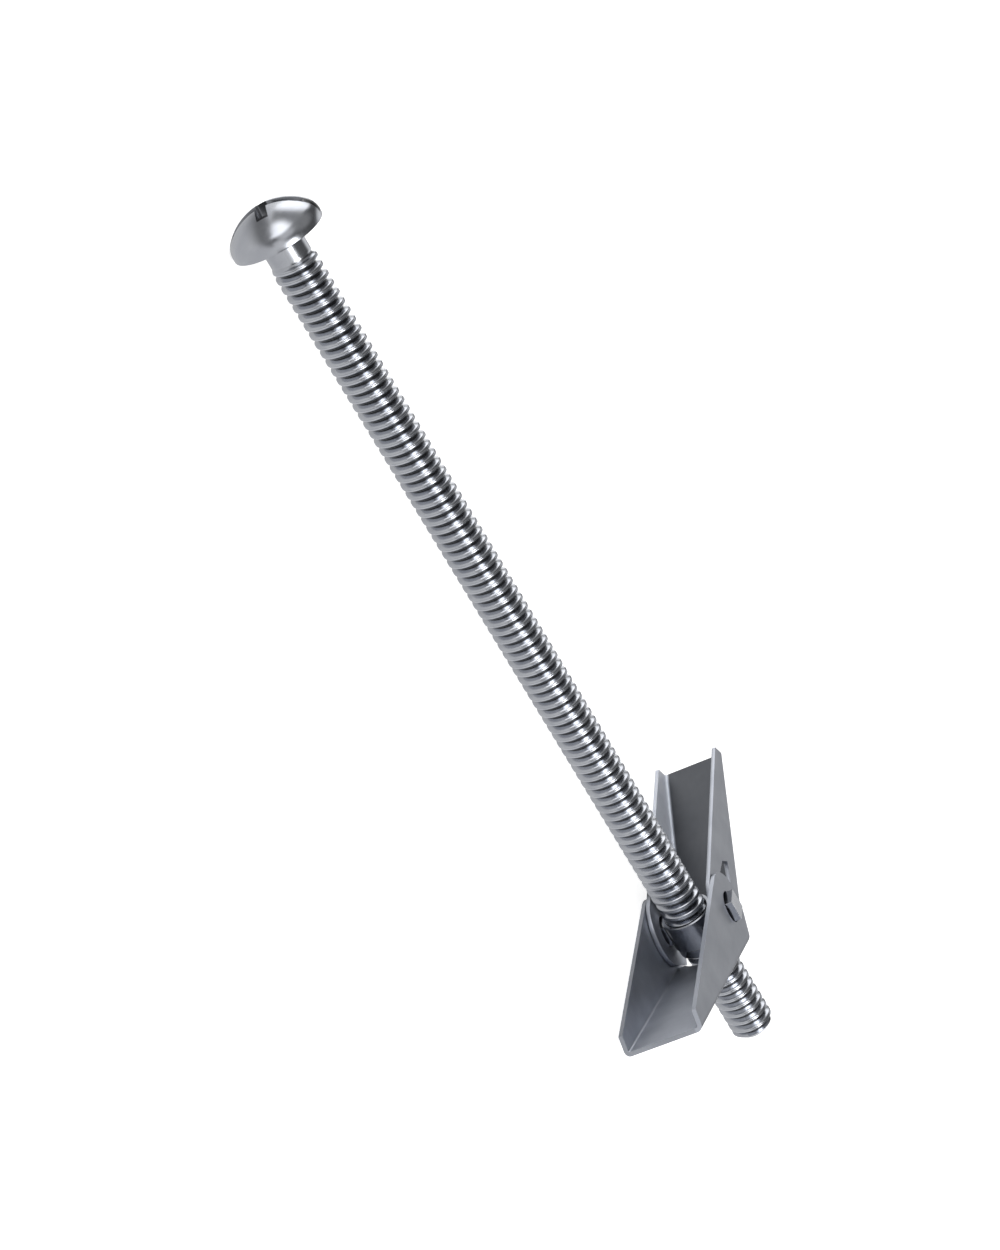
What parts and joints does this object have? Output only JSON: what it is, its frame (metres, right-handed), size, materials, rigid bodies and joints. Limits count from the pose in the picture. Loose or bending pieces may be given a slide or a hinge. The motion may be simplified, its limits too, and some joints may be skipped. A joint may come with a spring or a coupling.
{
  "type": "toggle anchor",
  "caption": "Spring toggle anchor: a long machine bolt with a domed head and a pair of sprung folding wings on a trunnion nut.",
  "frame": {"origin": "on the bolt's axis, in the plane of the seat under the head", "axes": "+X along the bolt from the head to the tail, +Y along the open inner wing, +Z along the trunnions, upwards as the part lies"},
  "size_m": [0.1052, 0.0508, 0.0102],
  "materials": {
    "zinc_bolt": "bright zinc plate, rolled thread",
    "zinc_nut": "bright zinc plate, turned",
    "zinc_sheet": "satin zinc plate on cold rolled sheet",
    "spring_wire": "bright drawn wire"
  },
  "bodies": {
    "bolt": {"bolt": "zinc_bolt"},
    "nut": {"trunnion_nut": "zinc_nut", "spring": "spring_wire"},
    "wing_inner": {"wing_inner": "zinc_sheet"},
    "wing_outer": {"wing_outer": "zinc_sheet"}
  },
  "joints": [
    {"name": "nut_travel", "type": "slide", "parent": "bolt", "child": "nut", "axis": [1, 0, 0], "range_m": [-0.05607, 0.01164]},
    {"name": "inner_fold", "type": "hinge", "parent": "nut", "child": "wing_inner", "pos_m": [0.0865, 0, 0], "axis": [0, 0, 1], "range_deg": [0, 72], "stiffness_Nm_per_rad": 0.004, "springref_deg": -34.38, "deforming": ["spring"]},
    {"name": "outer_fold", "type": "hinge", "parent": "nut", "child": "wing_outer", "pos_m": [0.0865, 0, 0], "axis": [0, 0, -1], "range_deg": [0, 72], "stiffness_Nm_per_rad": 0.004, "springref_deg": -34.38, "deforming": ["spring"]}
  ]
}
